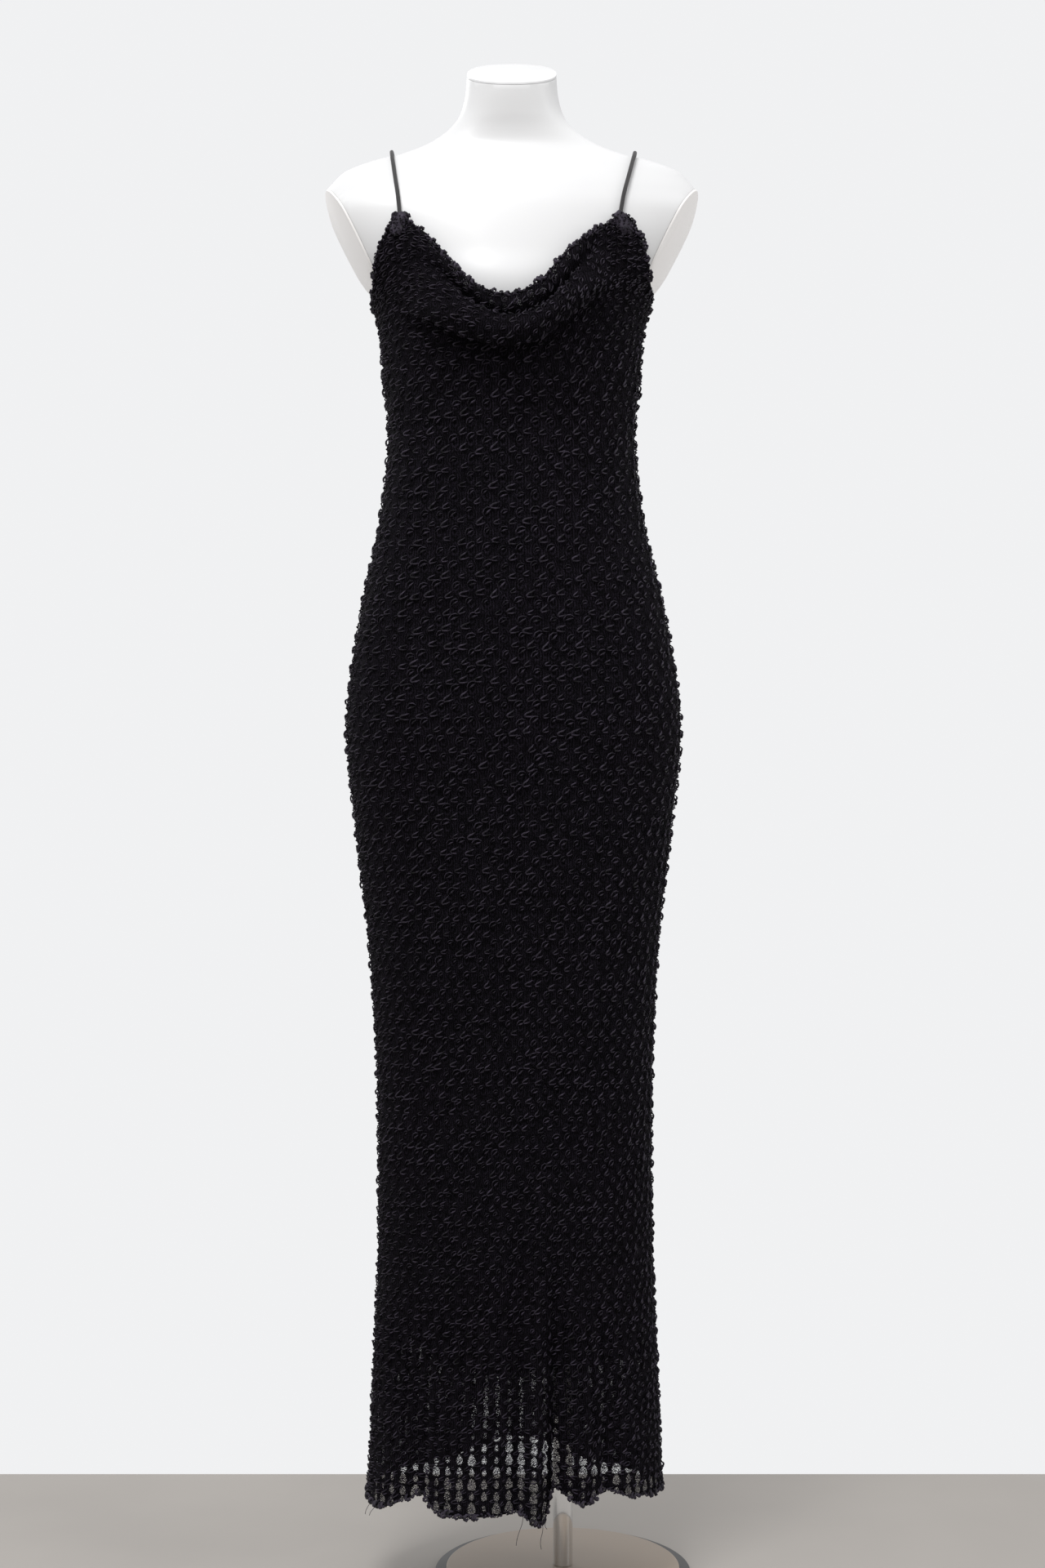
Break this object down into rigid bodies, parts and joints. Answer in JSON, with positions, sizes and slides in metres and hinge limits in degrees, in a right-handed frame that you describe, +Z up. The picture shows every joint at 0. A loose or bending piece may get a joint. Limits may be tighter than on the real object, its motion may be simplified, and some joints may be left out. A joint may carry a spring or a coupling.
{
  "type": "slip dress on a limbless dress form",
  "caption": "Full-length knitted slip dress with a draped cowl neck and thin cord straps, worn by a limbless dress form on a round base.",
  "frame": {"origin": "centre of the base's underside, on the floor", "axes": "+Z up along the pole, -Y the way the garment faces, +X to the right as seen from the front"},
  "size_m": [0.4082, 0.2881, 1.6666],
  "materials": {
    "knit": "openwork knit with raised hooked loops",
    "lining": "plain fine jersey",
    "strap_cord": "soft round cord",
    "form_shell": "smooth satin gloss",
    "form_plate": "smooth satin",
    "pole_chrome": "polished",
    "base_disc": "smooth satin paint",
    "base_plate": "dark satin paint"
  },
  "bodies": {
    "root": {"front_panel": "knit", "back_panel": "knit", "lining_front": "lining", "lining_back": "lining", "strap_left": "strap_cord", "strap_right": "strap_cord", "torso": "form_shell", "arm_plate_left": "form_plate", "arm_plate_right": "form_plate", "neck_plate": "form_plate", "pole": "pole_chrome", "base_disc": "base_disc", "base_plate": "base_plate"}
  },
  "joints": []
}
